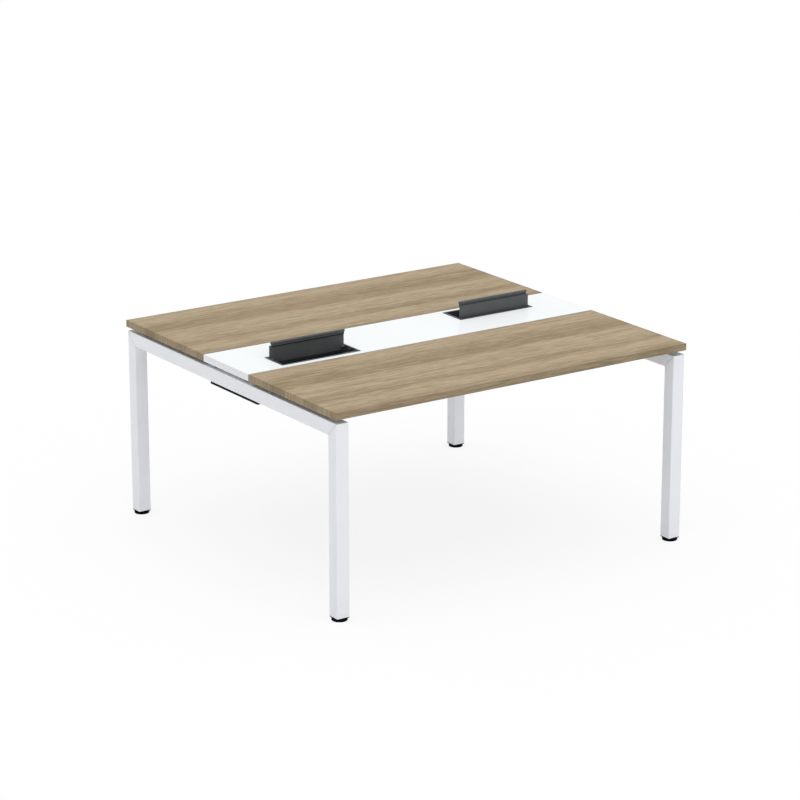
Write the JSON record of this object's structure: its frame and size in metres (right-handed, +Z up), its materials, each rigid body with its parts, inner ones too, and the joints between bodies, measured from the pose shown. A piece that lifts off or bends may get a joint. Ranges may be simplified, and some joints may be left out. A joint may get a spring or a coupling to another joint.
{
  "type": "benching desk",
  "caption": "Benching desk for two facing users: wood worktops beside a white centre panel with hinged cable flaps, on a white square-tube frame with levelling feet.",
  "frame": {"origin": "on the floor, under the middle of the desk's footprint", "axes": "+X along the length of the desk, +Y from the front user to the rear user, +Z up"},
  "size_m": [1.5, 1.408, 0.808],
  "materials": {
    "wood_top": "matt wood-grain melamine, grain along the desk",
    "wood_edging": "matt wood-grain edging",
    "white_panel": "white melamine, semi-gloss",
    "white_edging": "white edging, semi-gloss",
    "white_steel": "fine white powder coat",
    "black_steel": "black powder coat",
    "flap_lid_metal": "charcoal satin coating",
    "flap_frame_plastic": "charcoal moulded plastic",
    "black_plastic": "black moulded plastic",
    "grey_plastic": "grey moulded plastic",
    "foot_plastic": "black nylon",
    "zinc_steel": "zinc plate"
  },
  "bodies": {
    "frame": {"desktop_front": "wood_top", "desktop_rear": "wood_top", "desktop_front_edging": "wood_edging", "desktop_rear_edging": "wood_edging", "centre_panel": "white_panel", "centre_panel_edging": "white_edging", "cross_beam_left": "white_steel", "cross_beam_right": "white_steel", "rail_front": "white_steel", "rail_rear": "white_steel", "rail_end_plates": "white_steel", "rail_bolts": "zinc_steel", "rivet_nuts": "zinc_steel", "stand_offs": "grey_plastic", "stand_off_screws": "zinc_steel", "board_inserts": "zinc_steel", "joining_plates": "zinc_steel", "joining_screws": "zinc_steel", "cable_tray": "black_steel", "tray_screws": "zinc_steel", "leg_plugs": "black_plastic", "foot_nuts": "zinc_steel", "flap_screws": "zinc_steel", "leg_front_left": "white_steel", "leg_front_right": "white_steel", "leg_rear_left": "white_steel", "leg_rear_right": "white_steel", "flap_frame_front": "flap_frame_plastic", "hinge_pins_front": "zinc_steel", "flap_frame_rear": "flap_frame_plastic", "hinge_pins_rear": "zinc_steel"},
    "lid_front": {"flap_lid_front": "flap_lid_metal"},
    "lid_rear": {"flap_lid_rear": "flap_lid_metal"},
    "foot_front_left": {"foot_pad_front_left": "foot_plastic", "foot_stud_front_left": "zinc_steel"},
    "foot_front_right": {"foot_pad_front_right": "foot_plastic", "foot_stud_front_right": "zinc_steel"},
    "foot_rear_left": {"foot_pad_rear_left": "foot_plastic", "foot_stud_rear_left": "zinc_steel"},
    "foot_rear_right": {"foot_pad_rear_right": "foot_plastic", "foot_stud_rear_right": "zinc_steel"}
  },
  "joints": [
    {"name": "lid_front_hinge", "type": "hinge", "parent": "frame", "child": "lid_front", "pos_m": [-0.43, -0.031, 0.742], "axis": [1, 0, 0], "range_deg": [0, 90]},
    {"name": "lid_rear_hinge", "type": "hinge", "parent": "frame", "child": "lid_rear", "pos_m": [0.43, 0.031, 0.742], "axis": [-1, 0, 0], "range_deg": [0, 90]},
    {"name": "foot_front_left_screw", "type": "slide", "parent": "frame", "child": "foot_front_left", "axis": [0, 0, -1], "range_m": [0, 0.02]},
    {"name": "foot_front_right_screw", "type": "slide", "parent": "frame", "child": "foot_front_right", "axis": [0, 0, -1], "range_m": [0, 0.02]},
    {"name": "foot_rear_left_screw", "type": "slide", "parent": "frame", "child": "foot_rear_left", "axis": [0, 0, -1], "range_m": [0, 0.02]},
    {"name": "foot_rear_right_screw", "type": "slide", "parent": "frame", "child": "foot_rear_right", "axis": [0, 0, -1], "range_m": [0, 0.02]}
  ]
}
